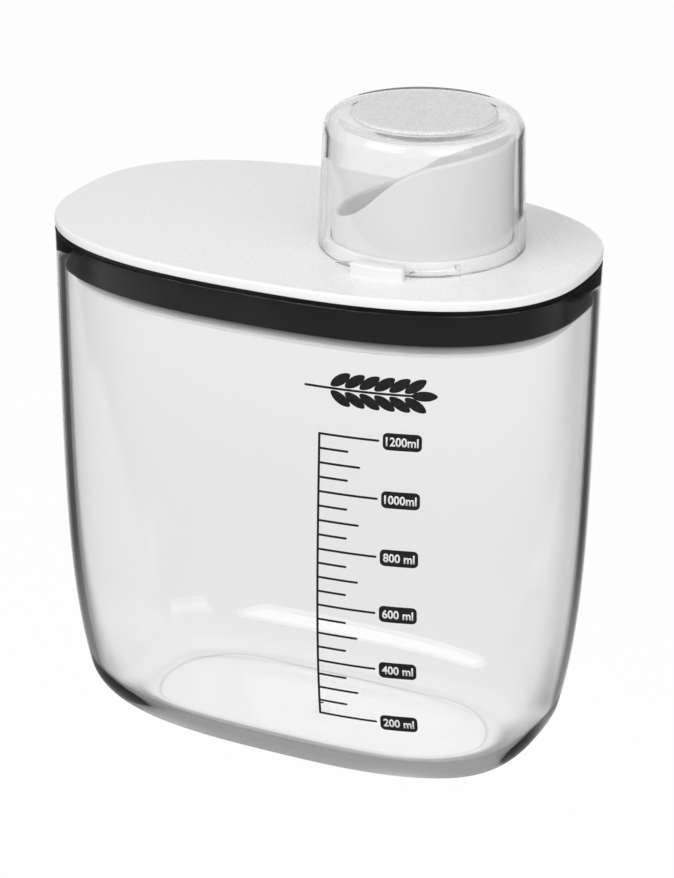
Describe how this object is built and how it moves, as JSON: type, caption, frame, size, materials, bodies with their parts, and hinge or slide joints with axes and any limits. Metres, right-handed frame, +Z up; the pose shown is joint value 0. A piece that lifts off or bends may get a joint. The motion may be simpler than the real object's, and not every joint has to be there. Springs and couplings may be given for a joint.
{
  "type": "dry food keeper with pouring spout",
  "caption": "Clear oblong dry food keeper with a white sealed lid, an S-cut pouring spout and a clear measuring cup that caps it and locks by bayonet.",
  "frame": {"origin": "middle of the base, on the surface that the jar stands on", "axes": "+Z up; +X along the oblong to the end that carries the spout; +Y to the back, away from the printed scale"},
  "size_m": [0.1568, 0.098, 0.1906],
  "materials": {
    "clear_jar": "clear polished injection-moulded wall",
    "black_silicone": "smooth satin black silicone",
    "white_lid": "white satin polypropylene",
    "white_plug": "white satin polypropylene",
    "white_spout": "white satin polypropylene",
    "clear_silicone": "translucent white silicone",
    "clear_cup": "clear polished cup, frosted disc on top",
    "white_catch": "white gloss plastic"
  },
  "bodies": {
    "jar": {"container": "clear_jar"},
    "lid": {"lid_cover": "white_lid", "lid_plug": "white_plug", "gasket": "black_silicone", "spout": "white_spout", "cup_catch_front": "white_catch", "cup_catch_rear": "white_catch"},
    "seal": {"cup_seal": "clear_silicone"},
    "cup": {"measuring_cup": "clear_cup"}
  },
  "joints": [
    {"name": "lid_lift", "type": "slide", "parent": "jar", "child": "lid", "axis": [0, 0, 1], "range_m": [0, 0.06]},
    {"name": "cup_turn", "type": "hinge", "parent": "lid", "child": "seal", "pos_m": [0.0295, 0, 0.1529], "axis": [0, 0, 1], "range_deg": [-26, 0]},
    {"name": "cup_lift", "type": "slide", "parent": "seal", "child": "cup", "axis": [0, 0, 1], "range_m": [0, 0.06]}
  ]
}
